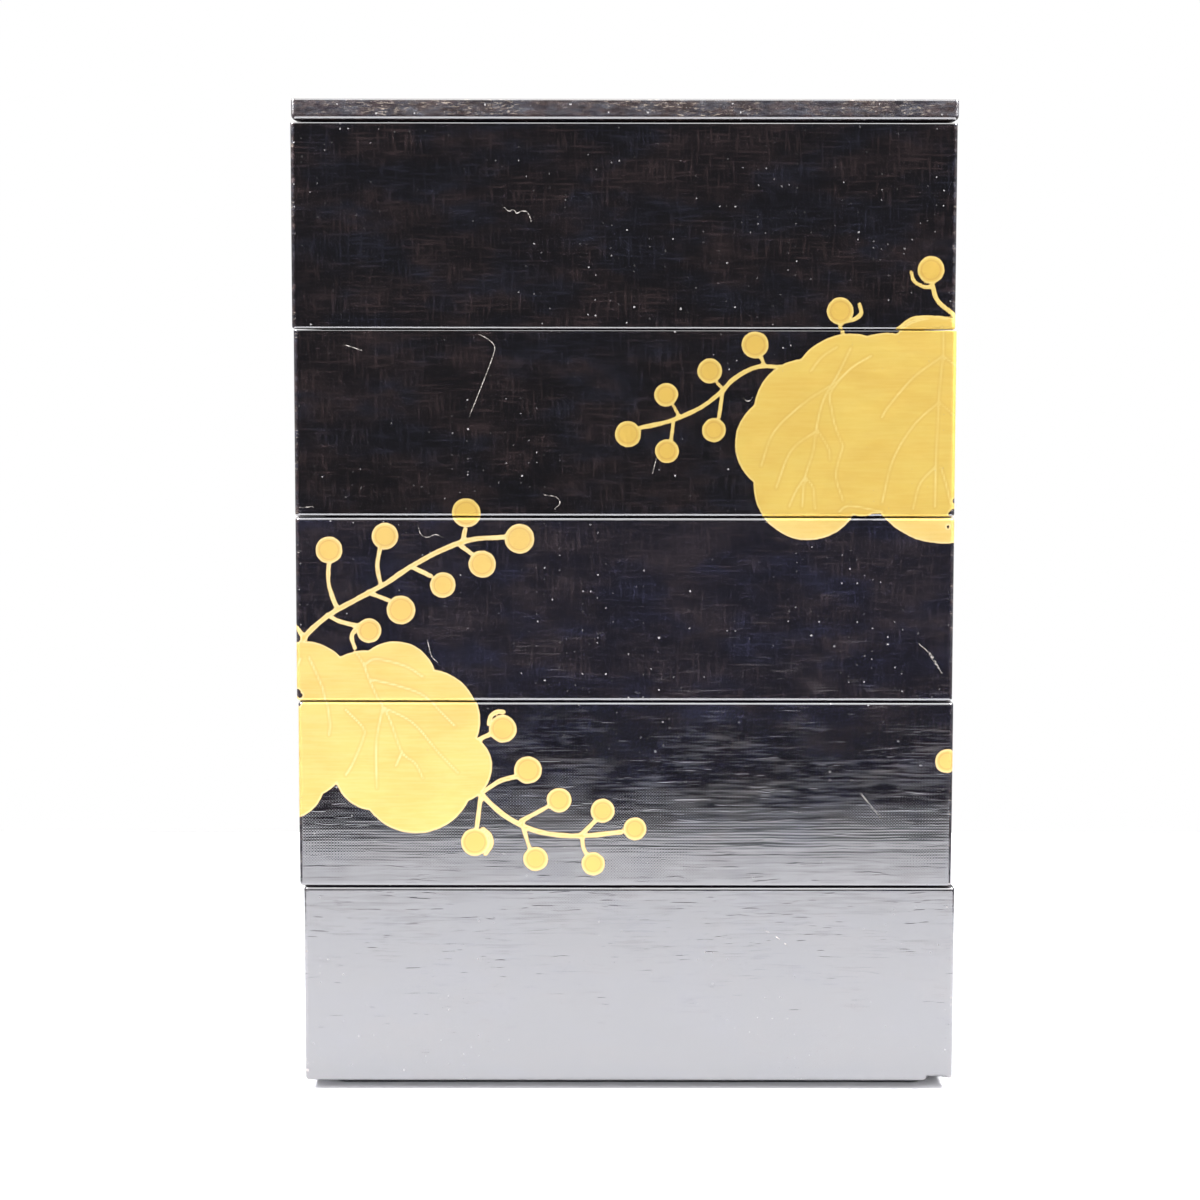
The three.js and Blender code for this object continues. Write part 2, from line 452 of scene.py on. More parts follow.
def lacquer(name, black, brown, blue, leaf_gold, dull, weave_height, slub_height, knot_height):
    """Polished black lacquer over cloth, with gold where its colour is given.

    Black turns to brown or blue along single threads and by a slow noise. It is rubbed where the
    wear field and a noise add up to 1. Dust lies on it, and fine lint where the lint field is
    close to 0.
    """
    material = bpy.data.materials.new(name)
    material.use_nodes = True
    tree = material.node_tree
    tree.nodes.clear()
    shader = node_of(tree, "ShaderNodeBsdfPrincipled", {"IOR": 1.9})
    output = node_of(tree, "ShaderNodeOutputMaterial", {"Surface": shader.outputs[0]})
    output.is_active_output = True
    metres = node_of(tree, "ShaderNodeTexCoord", {}).outputs["Object"]
    thousandfold = {0: metres, "Scale": 1000.0}
    place = node_of(tree, "ShaderNodeVectorMath", thousandfold, operation="SCALE").outputs[0]
    cloth = node_of(tree, "ShaderNodeUVMap", {}, uv_map="cloth").outputs[0]
    relief = threads_of(tree, cloth, weave_height, slub_height, knot_height)
    threads, weave, height, fibres = relief

    mottle = split_of(tree, noise_of(tree, cloth, (26, 13, 16), 4, 0.6).outputs["Color"])
    bare = sum_of(tree, "MULTIPLY_ADD", ramp_of(tree, mottle[0], 0.4, 0.75), 0.5, fibres)
    bluish = ramp_of(tree, mottle[1], 0.44, 0.62)
    colour = blend_of(tree, bluish, (*brown, 1), (*blue, 1))
    colour = blend_of(tree, sum_of(tree, "MAXIMUM", bare, 0.0), (*black, 1), colour)
    rub = noise_of(tree, place, (9, 9, 4), detail=4, roughness=0.6).outputs[0]
    roughness = ramp_of(tree, rub, 0.3, 0.8, dull, dull + 0.05)

    wear = field_of(tree, "wear")
    scuffs = split_of(tree, noise_of(tree, cloth, (7, 2.6, 9), 5, 0.68).outputs["Color"])
    worn = ramp_of(tree, sum_of(tree, "ADD", wear, scuffs[0]), 0.84, 1.22)
    rubbed = blend_of(tree, ramp_of(tree, scuffs[1], 0.42, 0.56), RUBBED_BROWN, RUBBED_BLUE)
    scratches = noise_of(tree, cloth, (2.4, 0.6, 9), detail=4, roughness=0.7).outputs[0]
    pale = ramp_of(tree, scratches, 0.52, 0.64)
    pale = sum_of(tree, "MULTIPLY", pale, ramp_of(tree, wear, 0.3, 0.5))
    pale = sum_of(tree, "MULTIPLY", pale, ramp_of(tree, mottle[2], 0.46, 0.6, 0.15, 1.0))
    rubbed = blend_of(tree, pale, rubbed, PALE_SCRATCH)
    colour = blend_of(tree, worn, colour, rubbed)
    roughness = sum_of(tree, "MULTIPLY_ADD", worn, 0.15, roughness)

    dust = dust_of(tree, cloth, wear)
    if leaf_gold:
        surface = (colour, roughness, height)
        gold, (colour, roughness, height) = gild(
            tree, place, threads, worn, mottle[2], leaf_gold, surface, weave, weave_height
        )
        tree.links.new(sum_of(tree, "MULTIPLY", gold, 0.88), shader.inputs["Metallic"])
        dust = sum_of(tree, "MULTIPLY", dust, ramp_of(tree, gold, 0.0, 1.0, 1.0, 0.2))
    colour = blend_of(tree, dust, colour, DUST_COLOUR)
    dusty = sum_of(tree, "MULTIPLY", dust, FLUFF_DULLNESS)
    roughness = sum_of(tree, "MAXIMUM", roughness, dusty)

    lint = ramp_of(tree, sum_of(tree, "ABSOLUTE", field_of(tree, "lint")), 0.18, 0.06)
    lint = sum_of(tree, "MULTIPLY", lint, ramp_of(tree, field_of(tree, "lint_far"), 0.9, 0.6))
    lint = sum_of(tree, "MULTIPLY", lint, ramp_of(tree, scratches, 0.42, 0.62, 0.12, 1.0))
    colour = blend_of(tree, lint, colour, LINT_COLOUR)
    fluffy = sum_of(tree, "MULTIPLY", lint, FLUFF_DULLNESS)
    roughness = sum_of(tree, "MAXIMUM", roughness, fluffy)

    bump = node_of(tree, "ShaderNodeBump", {"Height": height, "Strength": 1.0, "Distance": 0.001})
    tree.links.new(colour, shader.inputs["Base Color"])
    tree.links.new(roughness, shader.inputs["Roughness"])
    tree.links.new(bump.outputs[0], shader.inputs["Normal"])
    return material


LINT = [
    [(-40.5, 306.3), (-39.1, 305.2), (-37.7, 305.9), (-36.4, 304.5), (-35.0, 305.3), (-32.9, 304.9),
     (-31.6, 302.2)],
    [(-49.5, 263.2), (-47.6, 262.3), (-44.8, 259.7), (-45.3, 256.0), (-49.2, 245.8), (-53.2, 236.0)],
    [(-95.8, 259.8), (-93.4, 259.1), (-90.7, 258.1)],
    [(40.8, 241.6), (42.1, 240.7), (43.4, 241.6)],
    [(10.6, 220.6), (9.6, 216.5)],
    [(-27.5, 208.5), (-23.7, 207.9), (-22.3, 205.8), (-23.7, 204.1)],
    [(-111.5, 204.0), (-107.5, 204.5)],
    [(-71.2, 197.7), (-70.2, 194.9), (-67.8, 193.9), (-65.4, 194.9), (-63.1, 194.1)],
    [(-68.1, 158.1), (-66.8, 152.9), (-65.0, 150.9)],
    [(102.0, 156.8), (106.2, 153.3), (109.4, 147.4)],
    [(104.1, 155.1), (108.3, 148.8)],
    [(82.0, 104.4), (85.2, 100.5), (88.4, 96.7)],
    [(47.3, 56.7), (51.9, 53.9), (56.1, 50.4)],
]


def stroke_field(along, up, strokes, half_width, signed=False):
    """Distance to the nearest edge of smooth strokes of one width, or signed, left from right.

    Each stroke is a cubic through its points whose direction at a point is that between its
    neighbours. It is cut into short straight pieces, and the distance is the least to any of them.
    """
    field = np.full(along.shape, 9.0)
    for stroke in strokes:
        knots = np.array(stroke)
        ends = np.concatenate([2 * knots[:1] - knots[1:2], knots, 2 * knots[-1:] - knots[-2:-1]])
        share = np.linspace(0, len(knots) - 1, 8 * (len(knots) - 1) + 1)
        piece = np.minimum(share.astype(int), len(knots) - 2)
        t = (share - piece)[:, None]
        before, first, last, after = (ends[piece + k] for k in range(4))
        line = 0.5 * (
            2 * first
            + (last - before) * t
            + (2 * before - 5 * first + 4 * last - after) * t**2
            + (3 * first - before - 3 * last + after) * t**3
        )
        low = line.min(axis=0) - 4
        high = line.max(axis=0) + 4
        near = (along > low[0]) & (along < high[0]) & (up > low[1]) & (up < high[1])
        if not near.any():
            continue
        spot = np.stack([along[near], up[near]], axis=-1)[:, None]
        step = line[1:] - line[:-1]
        share = ((spot - line[:-1]) * step).sum(axis=-1) / (step**2).sum(axis=-1)
        away = spot - line[:-1] - np.clip(share, 0, 1)[..., None] * step
        far = np.linalg.norm(away, axis=-1)
        nearest = far.argmin(axis=-1)[:, None]
        reach = np.take_along_axis(far, nearest, axis=1)[:, 0] - half_width
        if signed:
            across = step[:, 0] * away[..., 1] - step[:, 1] * away[..., 0]
            reach *= np.sign(np.take_along_axis(across, nearest, axis=1)[:, 0])
            closer = np.abs(reach) < np.abs(field[near])
        else:
            closer = reach < field[near]
        field[near] = np.where(closer, reach, field[near])
    return field


def weather(mesh, inset, level, foot, height):
    """Adds the wear and the lint of a tier's skin to its mesh."""
    add_field(mesh, "wear", edge_wear(inset, level, height), 0)
    along = np.broadcast_to(CLOTH_ROUND[:-1], (len(level), COLUMNS.shape[1]))
    up = np.broadcast_to(level[:, None] + foot, along.shape)
    outside = (inset < EDGE_RADIUS + 0.1) & (level > -0.1)
    for name, signed in (("lint", True), ("lint_far", False)):
        field = stroke_field(along, up, LINT, 0, signed)
        add_field(mesh, name, np.where(outside[:, None], field, 9), 9)


def edge_wear(inset, level, height):
    """Wear of a tier's skin: falls off with distance from its upright corners, rim and lower edge.

    The sum of a constant times exp(-distance / length) for each, up to 0.62, and 0 inside.
    """
    corners = CLOTH_ROUND[:-1][np.abs(COLUMNS[2] * COLUMNS[3]) > 0.2]
    far_corner = np.abs(CLOTH_ROUND[:-1, None] - corners).min(axis=1)
    upright = 0.36 * np.exp(-far_corner / 0.9) + 0.12 * np.exp(-far_corner / 7)
    level_edge = 0.36 * np.exp(-np.abs(height - level) / 0.8) + 0.3 * np.exp(-np.abs(level) / 0.7)
    outside = (inset < EDGE_RADIUS + 0.1) & (level > -0.1)
    return np.minimum(upright + level_edge[:, None], 0.62) * outside[:, None]


TIER_STEPS = [14, 3, 2.7, 0.75, 2.7, 10, 14]


def tier_corners(height):
    """Profile of a tier, from the middle of its underside out, up, over the rim and in."""
    return [
        (MIDDLE_INSET, -BOARD_DROP, 0),
        (BOARD_INSET, -BOARD_DROP, 0.6),
        (BOARD_INSET, 0, 0.4),
        (0, 0, EDGE_RADIUS),
        (0, height, EDGE_RADIUS),
        (WALL, height, EDGE_RADIUS),
        (WALL, FLOOR_TOP, 1.6),
        (MIDDLE_INSET, FLOOR_TOP, 0),
    ]


def tier_place(node):
    """Middle in x, lower edge of the walls and height of the walls, from the frame's solid."""
    low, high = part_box(node)
    foot = low[2] * 1000 + BOARD_DROP
    return (low[0] + high[0]) * 500, foot, high[2] * 1000 - foot


def break_corner(points, share_in):
    """Lifts the lower edge at the front right corner to a sloping fracture.

    The fracture's height falls from the front face inwards along a broken line, stops short on the
    left and is shallower at the very corner. Rows above it are squeezed up, more the nearer they
    are, so no face is lost.
    """
    x, y, z = np.moveaxis(points, -1, 0)
    depth = y + HALF_DEPTH
    fall = np.interp(depth, [0, CHIP_REACH * 0.4, CHIP_REACH, CHIP_REACH + 0.4], [1, 0.5, 0.15, 0])
    along = np.clip((x - share_in) / 0.1, 0, 1) - 0.45 * np.clip((x - share_in - 6.4) / 0.9, 0, 1)
    rough = 0.06 * np.sin(x * 2.3 + y * 1.7) + 0.05 * np.sin(x * 5.1 - y * 3.9)
    lift = CHIP_HEIGHT * fall * along * (1 + rough)
    return np.stack([x, y, z + lift], axis=-1)


middle, foot, height = tier_place("bottom_tier")
inset, level, runs = profile_rows(tier_corners(height), [14, 3, 1, 2.4, 2.7, 10, 14])
share_x, share_y, out_x, out_y = COLUMNS
corner_x = share_x * (HALF_WIDTH - CORNER_RADIUS) + out_x * CORNER_RADIUS
corner_y = share_y * (HALF_DEPTH - CORNER_RADIUS) + out_y * CORNER_RADIUS
at_chip = (corner_x > HALF_WIDTH - CHIP_LENGTH) & (corner_y < CHIP_REACH - HALF_DEPTH)
lower_edge = (inset < EDGE_RADIUS + 0.1) & (level < EDGE_RADIUS + 0.1) & (level > -0.1)
worn_inset = inset[:, None] * np.where(lower_edge[:, None] & at_chip, 0.15, 1)
points = ring_points(worn_inset, level[:, None], middle)
below = np.clip(1 - points[..., 2] / 9, 0, 1) * (points[..., 2] > -0.1)
broken = break_corner(points, middle + HALF_WIDTH - CHIP_LENGTH)
points = points + (broken - points) * below[..., None]
points[..., 2] += foot
bottom_mesh = ringed_mesh("bottom_tier_lacquer", points, inset, runs, [0, 6])
weather(bottom_mesh, inset, level, foot, height)
bottom_mesh.materials.append(
    lacquer(
        "plain_lacquer",
        black=(0.003, 0.003, 0.005),
        brown=(0.009, 0.007, 0.008),
        blue=(0.007, 0.007, 0.012),
        leaf_gold=None,
        dull=0.045,
        weave_height=0.0085,
        slub_height=0.046,
        knot_height=0.02,
    )
)
stand_for(bpy.data.objects.new("bottom_tier_lacquer", bottom_mesh), "bottom_tier")

# Fourth, third, second and top tiers: the same box, with leaves and sprays of round buds drawn over
# it in gold powder sprinkled on wet lacquer. The gold lies on the skin, a hair proud of it, runs on
# from tier to tier and round both front corners, and is worn through in small spots at the edges.

UPPER_STEM = 0.74
UPPER_TWIG = 0.62
LOWER_STEM = 0.86
LOWER_TWIG = 0.76
LOWER_LOBES = [
    (-79.4, 143.4, 14.5),
    (-89.8, 137.4, 17.3),
    (-68.2, 130.5, 17.7),
    (-59.2, 114.1, 12.8),
    (-72.8, 110.9, 20.1),
    (-87.0, 113.0, 14.2),
    (-110.6, 140.9, 16.9),
    (-111.2, 117.5, 14.2),
    (-118.2, 109.4, 13.9),
    (-101.2, 133.0, 14.5),
    (-84.0, 128.0, 20.0),
    (-127.0, 131.0, 15.0),
    (-131.0, 118.0, 10.5),
]
LOWER_BUDS = [
    (-36.3, 193.4, 5.1),
    (-54.6, 202.3, 5.0),
    (-82.6, 194.3, 4.6),
    (-101.9, 189.5, 4.65),
    (-49.2, 184.7, 4.7),
    (-62.7, 177.4, 4.4),
    (-77.2, 168.8, 5.0),
    (-88.3, 161.5, 4.3),
    (-33.9, 113.0, 4.8),
    (-52.4, 87.7, 4.9),
    (3.2, 92.4, 4.0),
    (-23.2, 102.5, 4.3),
    (-8.0, 98.7, 4.2),
    (-31.3, 81.8, 4.3),
    (-11.3, 80.1, 4.1),
    (-42.6, 127.5, 4.8),
    (111.4, 116.3, 4.2),
    (-123.5, 176.0, 4.8),
    (-135.5, 165.5, 4.6),
    (-139.0, 181.5, 4.6),
    (-151.5, 173.0, 4.3),
]
LOWER_STEMS = [
    [(-36.3, 194.2), (-41.6, 194.0), (-53.3, 193.0), (-63.7, 189.2), (-74.0, 183.6), (-82.7, 177.8),
     (-94.8, 171.2), (-103.4, 166.0), (-111.4, 158.0), (-112.0, 150.0)],
    [(-50.6, 104.9), (-43.7, 98.3), (-36.4, 93.7), (-28.0, 90.9), (-15.9, 89.9), (-1.3, 91.3)],
    [(-150.0, 172.5), (-141.0, 173.0), (-131.0, 170.5), (-121.0, 166.5), (-113.5, 162.5), (-110.6, 158.5)],
]
LOWER_TWIGS = [
    [(-101.9, 185.5), (-102.2, 178.5), (-100.6, 172.6), (-99.0, 169.0)],
    [(-84.2, 190.5), (-85.3, 184.5), (-84.7, 180.1), (-84.0, 177.0)],
    [(-55.0, 196.8), (-55.7, 193.0)],
    [(-52.3, 187.8), (-56.8, 191.3)],
    [(-66.8, 180.5), (-73.3, 183.6)],
    [(-81.7, 172.2), (-88.6, 174.9)],
    [(-92.2, 163.2), (-98.6, 164.9), (-102.6, 167.0)],
    [(-91.8, 163.4), (-94.2, 159.7), (-93.2, 155.5)],
    [(-31.5, 82.1), (-33.6, 86.3), (-36.0, 94.4)],
    [(-23.2, 102.5), (-28.0, 99.7), (-36.4, 95.1)],
    [(-8.2, 98.7), (-11.0, 94.8), (-15.2, 90.6)],
    [(-11.3, 80.4), (-14.5, 85.3), (-15.2, 90.2)],
    [(-42.6, 127.5), (-50.5, 123.9)],
    [(-50.2, 104.9), (-52.4, 87.7)],
    [(-50.2, 104.9), (-43.6, 109.2), (-37.4, 110.9)],
    [(-49.6, 92.3), (-47.2, 90.0), (-46.8, 86.8), (-48.8, 83.5)],
    [(-47.4, 129.1), (-46.7, 131.9), (-44.7, 133.3), (-42.3, 133.3)],
    [(-123.5, 176.0), (-124.5, 171.5), (-122.0, 167.2)],
    [(-135.5, 165.5), (-132.5, 168.0), (-129.5, 169.6)],
    [(-139.0, 181.5), (-138.8, 177.0), (-136.5, 172.4)],
]
LOWER_VEINS = [
    [(-90.1, 149.6), (-85.9, 151.7), (-75.9, 149.3), (-69.7, 145.5)],
    [(-88.4, 144.8), (-78.0, 142.3), (-69.8, 139.2), (-64.7, 134.0), (-59.2, 128.4)],
    [(-84.1, 135.0), (-73.7, 129.4), (-65.1, 119.3), (-58.2, 112.0)],
    [(-84.1, 135.0), (-81.7, 130.5), (-77.6, 119.3), (-73.1, 115.4), (-70.4, 110.2)],
    [(-77.6, 119.3), (-79.7, 114.4)],
    [(-84.1, 135.0), (-86.2, 124.9), (-86.6, 116.8), (-86.3, 106.7)],
    [(-92.5, 153.5), (-90.1, 149.6), (-88.4, 144.8), (-84.1, 135.0)],
    [(-96.9, 134.0), (-91.0, 127.7), (-91.1, 123.8), (-94.6, 115.4), (-97.1, 111.2)],
    [(-109.1, 152.4), (-105.0, 143.0), (-104.0, 139.5), (-102.5, 129.8), (-102.8, 125.2)],
    [(-112.0, 152.0), (-117.0, 140.0), (-121.0, 127.0), (-122.0, 112.0)],
    [(-118.5, 136.0), (-128.0, 132.0), (-135.0, 122.0)],
]
UPPER_LOBES = [
    (77.0, 243.3, 20.6),
    (62.0, 237.5, 17.8),
    (54.2, 226.2, 16.5),
    (62.9, 211.7, 18.6),
    (87.4, 239.6, 17.8),
    (85.9, 215.9, 13.7),
    (109.6, 219.7, 27.8),
    (106.1, 250.9, 18.5),
    (89.0, 244.7, 19.5),
    (125.0, 241.3, 20.6),
    (140.5, 229.0, 15.5),
    (133.0, 212.0, 16.5),
    (81.5, 208.0, 6.8),
]
UPPER_BUDS = [
    (104.8, 285.6, 4.6),
    (73.9, 271.6, 4.6),
    (1.0, 229.5, 4.5),
    (44.4, 260.0, 4.6),
    (28.9, 251.1, 4.3),
    (14.0, 242.9, 4.1),
    (30.5, 230.9, 4.1),
    (14.4, 223.7, 4.1),
    (128.5, 291.0, 4.7),
    (137.5, 279.0, 4.5),
    (149.0, 296.5, 4.6),
    (161.5, 286.5, 4.4),
    (152.0, 272.5, 4.2),
]
UPPER_STEMS = [
    [(53.3, 252.5), (45.1, 252.5), (37.6, 248.7), (32.5, 243.6), (25.7, 238.5), (15.4, 234.0),
     (5.1, 231.6), (1.0, 230.0)],
    [(105.2, 281.1), (107.3, 275.0), (113.2, 269.9), (119.0, 262.0)],
    [(93.8, 265.5), (98.9, 268.9), (106.0, 269.3), (113.2, 268.6)],
    [(161.5, 286.5), (150.0, 284.5), (139.5, 286.5), (128.0, 281.5), (119.5, 274.0), (115.0, 266.0)],
]
UPPER_TWIGS = [
    [(16.4, 239.5), (18.8, 235.0)],
    [(31.5, 247.0), (33.9, 244.6)],
    [(46.5, 255.6), (47.9, 252.8)],
    [(32.2, 235.0), (33.4, 244.2)],
    [(15.8, 227.0), (16.6, 234.2)],
    [(73.9, 267.2), (74.5, 263.4)],
    [(98.0, 284.9), (99.1, 281.8), (102.5, 279.8), (105.6, 279.8)],
    [(80.4, 274.0), (81.1, 270.9), (79.0, 268.9), (76.3, 268.2)],
    [(128.5, 291.0), (130.5, 286.5), (133.5, 284.5)],
    [(137.5, 279.0), (133.0, 281.0), (130.5, 283.5)],
    [(149.0, 296.5), (147.5, 290.5), (144.5, 285.5)],
    [(152.0, 272.5), (149.5, 278.5), (147.0, 284.5)],
]
UPPER_VEINS = [
    [(77.2, 259.0), (72.5, 249.4), (68.1, 241.6), (65.8, 232.7), (64.5, 223.4), (61.9, 214.8), (60.9, 204.5)],
    [(72.4, 259.3), (67.3, 255.9), (63.6, 251.1)],
    [(70.2, 246.0), (61.3, 240.2), (51.1, 230.3), (46.7, 218.6)],
    [(65.5, 230.6), (57.0, 223.8), (51.9, 211.0)],
    [(65.8, 231.3), (69.7, 224.8), (70.4, 220.7)],
    [(61.9, 214.8), (58.8, 210.0), (56.4, 204.5)],
    [(61.9, 214.8), (64.6, 211.1), (65.4, 203.8)],
    [(84.1, 256.3), (77.0, 251.8), (70.5, 244.0), (70.9, 237.5), (72.4, 231.3), (74.8, 225.5)],
    [(74.8, 225.5), (72.5, 215.5), (75.0, 206.6)],
    [(73.6, 202.8), (77.4, 204.9), (88.8, 202.8)],
    [(108.7, 266.0), (108.7, 256.3), (107.8, 246.1), (107.3, 235.5), (106.8, 219.7), (106.6, 204.6)],
    [(108.7, 256.3), (98.9, 249.1), (90.4, 239.2), (88.1, 235.4)],
    [(107.6, 240.6), (99.1, 232.7), (92.0, 220.7), (88.4, 205.9)],
    [(106.5, 218.3), (101.4, 212.5), (99.1, 203.9)],
    [(108.5, 218.3), (110.3, 212.5), (112.1, 205.6)],
    [(108.7, 256.3), (120.0, 248.0), (131.0, 238.0), (138.0, 228.0)],
    [(107.6, 240.6), (118.0, 231.0), (126.0, 219.0), (131.0, 206.0)],
]
WORN_SPOTS = [
    (-113.3, 139.9, 1.3),
    (-112.3, 139.0, 0.9),
    (-113.4, 136.0, 0.8),
    (113.6, 206.6, 0.9),
    (113.2, 202.7, 1.2),
    (112.1, 202.2, 0.8),
    (111.2, 197.7, 0.5),
]


def disc_field(along, up, discs):
    """Distance to the nearest disc's edge: the least of distance to a middle less its radius."""
    middle_s, middle_z, radius = np.array(discs).T
    far = np.hypot(along[..., None] - middle_s, up[..., None] - middle_z)
    return (far - radius).min(axis=-1)


def gilded_tier(node, sprays, material, rim_radius):
    """A tier with its own part of the sprays in gold: lobes, buds, stems, twigs and veins."""
    middle, foot, height = tier_place(node)
    corners = tier_corners(height)
    corners[4] = (0, height, rim_radius)
    inset, level, runs = profile_rows(corners, TIER_STEPS)
    points = ring_points(inset[:, None], level[:, None] + foot, middle)
    mesh = ringed_mesh(node + "_lacquer", points, inset, runs, [0, 6])
    outside = (inset < EDGE_RADIUS + 0.1) & (level > -0.1)
    along = np.broadcast_to(CLOTH_ROUND[:-1], (outside.sum(), COLUMNS.shape[1]))
    up = np.broadcast_to(level[outside, None] + foot, along.shape)
    gold = np.full((3, len(inset), COLUMNS.shape[1]), 9.0)
    for lobes, buds, stems, twigs, veins, stem, twig in sprays:
        round_buds = disc_field(along, up, buds)
        shapes = [
            disc_field(along, up, lobes),
            round_buds,
            stroke_field(along, up, stems, stem),
            stroke_field(along, up, twigs, twig),
        ]
        shape = np.maximum(np.min(shapes, axis=0), -disc_field(along, up, WORN_SPOTS))
        drawn = [shape, stroke_field(along, up, veins, 0), round_buds]
        gold[:, outside] = np.minimum(gold[:, outside], drawn)
    for name, values in zip(("gold", "vein", "bud"), gold):
        add_field(mesh, name, np.minimum(values, 9), 9)
    weather(mesh, inset, level, foot, height)
    mesh.materials.append(material)
    stand_for(bpy.data.objects.new(node + "_lacquer", mesh), node)


upper_spray = (UPPER_LOBES, UPPER_BUDS, UPPER_STEMS, UPPER_TWIGS, UPPER_VEINS, UPPER_STEM, UPPER_TWIG)
lower_spray = (LOWER_LOBES, LOWER_BUDS, LOWER_STEMS, LOWER_TWIGS, LOWER_VEINS, LOWER_STEM, LOWER_TWIG)
cool_lacquer = lacquer(
    "gilded_lacquer_cool",
    black=(0.0018, 0.0017, 0.0032),
    brown=(0.0095, 0.0072, 0.0085),
    blue=(0.0065, 0.0065, 0.0125),
    leaf_gold=(0.335, 0.248, 0.075),
    dull=0.04,
    weave_height=0.0085,
    slub_height=0.036,
    knot_height=0.013,
)
warm_lacquer = lacquer(
    "gilded_lacquer_warm",
    black=(0.0009, 0.0008, 0.0012),
    brown=(0.0078, 0.0052, 0.0055),
    blue=(0.004, 0.004, 0.0063),
    leaf_gold=(0.29, 0.207, 0.042),
    dull=0.045,
    weave_height=0.0045,
    slub_height=0.03,
    knot_height=0.0,
)
gilded_tier("fourth_tier", [lower_spray], cool_lacquer, EDGE_RADIUS)
gilded_tier("third_tier", [upper_spray, lower_spray], cool_lacquer, EDGE_RADIUS)
gilded_tier("second_tier", [upper_spray, lower_spray], warm_lacquer, 0.2)
gilded_tier("top_tier", [upper_spray], warm_lacquer, 0.4)

# Lid: one thin board, lacquered like the tiers, its edge rubbed dull and brown by hands. Its
# underside slopes in to a strip that bears on the rim, and a step below that drops inside.

LID_SLOPE_INSET = 3.3
LID_LOWER_EDGE = 2.0
LID_UPPER_EDGE = 0.5

low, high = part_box("lid")
lid_foot = low[2] * 1000 + BOARD_DROP
lid_top = high[2] * 1000 - lid_foot
lid_corners = [
    (MIDDLE_INSET, -BOARD_DROP, 0),
    (BOARD_INSET, -BOARD_DROP, 0.6),
    (BOARD_INSET, 0, 0.4),
    (LID_SLOPE_INSET, 0, 0.3),
    (0, 0.6, LID_LOWER_EDGE),
    (0, lid_top, LID_UPPER_EDGE),
    (MIDDLE_INSET, lid_top, 0),
]
inset, level, runs = profile_rows(lid_corners, [14, 3, 3, 1, 1.2, 14])
points = ring_points(inset[:, None], level[:, None] + lid_foot, (low[0] + high[0]) * 500)
lid_mesh = ringed_mesh("lid_lacquer", points, inset, runs, [0, 5])
add_field(lid_mesh, "lint_far", np.full(points.shape[:2], 9.0), 9)
edge_band = np.clip(1 - inset / 1.2, 0, 1) * np.clip((level - 0.5) / 1.5, 0, 1)
add_field(lid_mesh, "wear", np.repeat(edge_band[:, None] * 0.54, points.shape[1], axis=1), 0)
lid_mesh.materials.append(
    lacquer(
        "lid_lacquer",
        black=(0.006, 0.005, 0.006),
        brown=(0.018, 0.011, 0.009),
        blue=(0.009, 0.009, 0.014),
        leaf_gold=None,
        dull=0.12,
        weave_height=0.005,
        slub_height=0.03,
        knot_height=0.0,
    )
)
stand_for(bpy.data.objects.new("lid_lacquer", lid_mesh), "lid")

# Pale table: a plain white top that ends half a metre in front of the box and nearer on its other
# sides. Its glare is what turns the lowest lacquer silver, and beyond its edge the room is dark.

TABLE_FRONT = 0.498
TABLE_REACH = 0.3

table_mesh = bpy.data.meshes.new("pale_table")
reach_x = HALF_WIDTH * 0.001 + TABLE_REACH
front_y = -HALF_DEPTH * 0.001 - TABLE_FRONT
back_y = HALF_DEPTH * 0.001 + TABLE_REACH
corners = [(-reach_x, front_y), (reach_x, front_y), (reach_x, back_y), (-reach_x, back_y)]
table_mesh.from_pydata([(x, y, -0.0002) for x, y in corners], [], [(0, 1, 2, 3)])
table_paint = bpy.data.materials.new("pale_paint")
table_paint.use_nodes = True
paint = table_paint.node_tree.nodes["Principled BSDF"]
paint.inputs["Base Color"].default_value = (0.765, 0.765, 0.8, 1)
paint.inputs["Roughness"].default_value = 0.9
paint.inputs["Specular IOR Level"].default_value = 0.1
table_mesh.materials.append(table_paint)
pale_table = bpy.data.objects.new("pale_table", table_mesh)
scene.collection.objects.link(pale_table)

# Light: soft lights overhead, high in front and close by on both sides, which whiten the table at
# the foot of the box, and a low fill, in a room that is dark in front and paler behind and above.
# The backdrop that the camera sees is plain white.


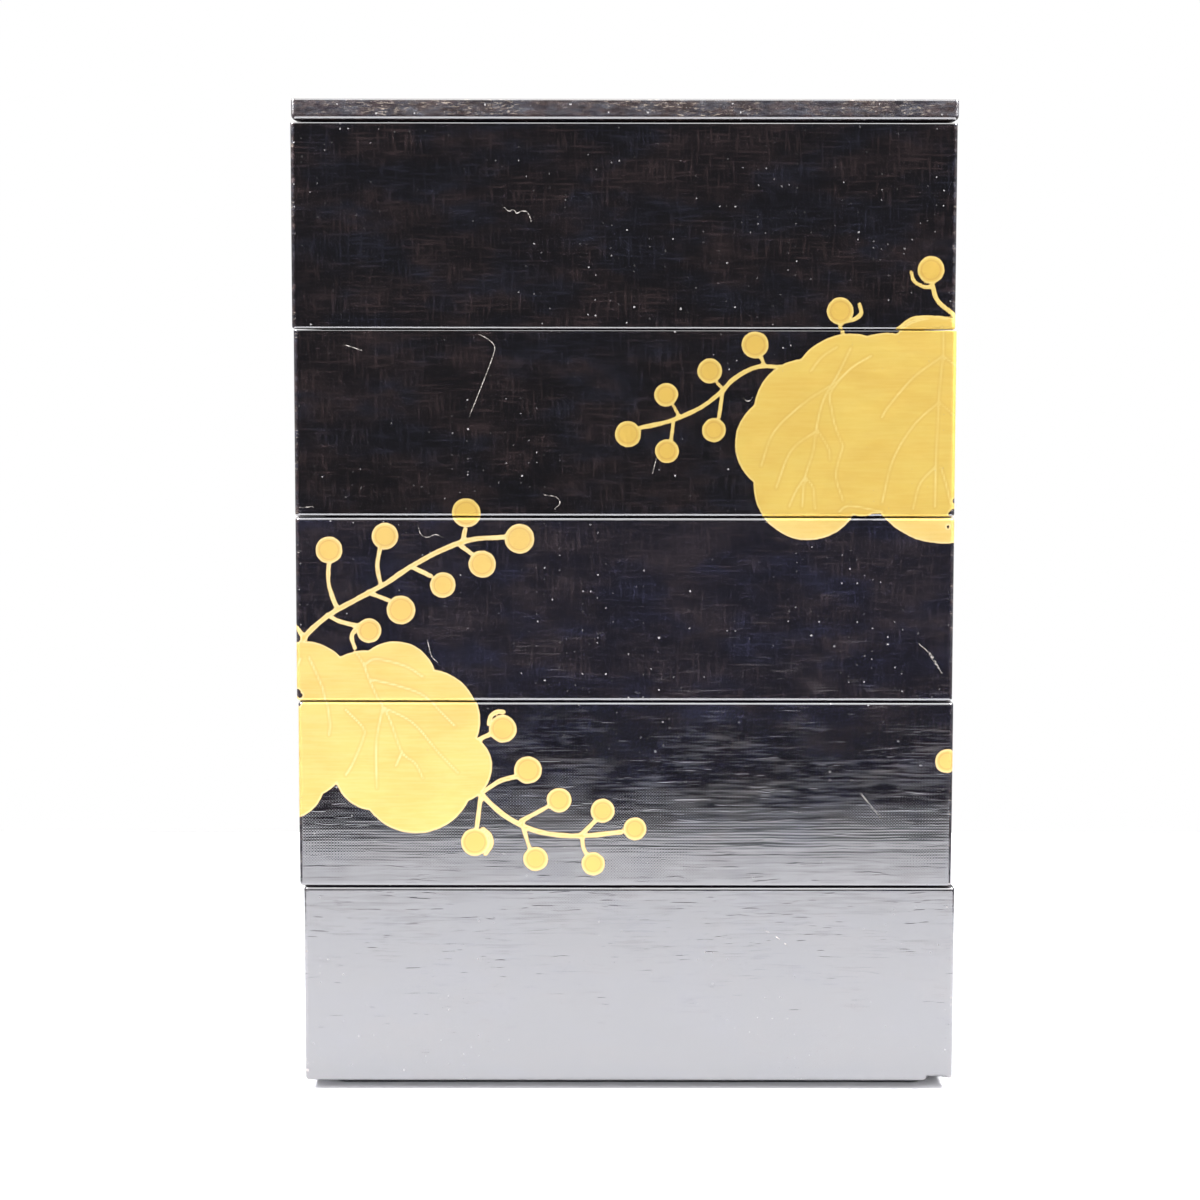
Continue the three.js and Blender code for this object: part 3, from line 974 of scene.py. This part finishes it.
def soft_light(name, place, size, power, aim):
    """Flat rectangular light at a place, facing the point it is aimed at."""
    lamp = bpy.data.lights.new(name, "AREA")
    lamp.shape = "RECTANGLE"
    lamp.size, lamp.size_y = size
    lamp.energy = power
    shown = bpy.data.objects.new(name, lamp)
    shown.location = place
    shown.rotation_euler = (Vector(aim) - Vector(place)).to_track_quat("-Z", "Y").to_euler()
    shown.visible_camera = False
    scene.collection.objects.link(shown)
    return shown


soft_light("overhead", (0, -0.45, 1.3), (1.0, 0.85), 25, (0, -0.45, 0))
soft_light("front", (0, -1.75, 1.2), (2.2, 1.0), 32, (0, -0.2, 0.15))
soft_light("left", (-0.42, -0.17, 0.5), (0.25, 0.25), 16, (0, -0.15, 0))
soft_light("right", (0.42, -0.17, 0.5), (0.25, 0.25), 16, (0, -0.15, 0))
low_fill = soft_light("low_fill", (0, -0.9, 0.22), (1.2, 0.12), 6, (0, -0.1, 0))
low_fill.visible_glossy = False

world = bpy.data.worlds.new("pale_room")
world.use_nodes = True
scene.world = world
room = world.node_tree
room.nodes.clear()
toward = node_of(room, "ShaderNodeTexCoord", {}).outputs["Generated"]
toward = node_of(room, "ShaderNodeSeparateXYZ", {0: toward})
glow = ramp_of(room, toward.outputs[1], -0.75, -0.2, 0.07, 0.35)
glow = sum_of(room, "ADD", glow, ramp_of(room, toward.outputs[2], 0.2, 0.75, 0.0, 0.7))
seen = node_of(room, "ShaderNodeLightPath", {}).outputs["Is Camera Ray"]
glow = sum_of(room, "MAXIMUM", glow, seen)
background = node_of(room, "ShaderNodeBackground", {"Color": (1, 1, 1, 1), "Strength": glow})
node_of(room, "ShaderNodeOutputWorld", {"Surface": background.outputs[0]})

# Camera: about a metre in front of the box, a little left of its middle and level with the top of
# the second tier, tipped down by five and a half degrees.

view = bpy.data.cameras.new("camera")
view.sensor_fit = "HORIZONTAL"
view.sensor_width = 36
view.lens = 87.39
view.clip_start = 0.05
view.clip_end = 20
camera = bpy.data.objects.new("camera", view)
turn = Matrix.Rotation(np.radians(-0.106), 4, "Z")
tip = Matrix.Rotation(np.radians(90 - 5.529), 4, "X")
roll = Matrix.Rotation(np.radians(0.073), 4, "Z")
camera.matrix_world = Matrix.Translation((-0.01103, -1.106, 0.2691)) @ turn @ tip @ roll
scene.collection.objects.link(camera)
scene.camera = camera
scene.view_settings.view_transform = "Standard"
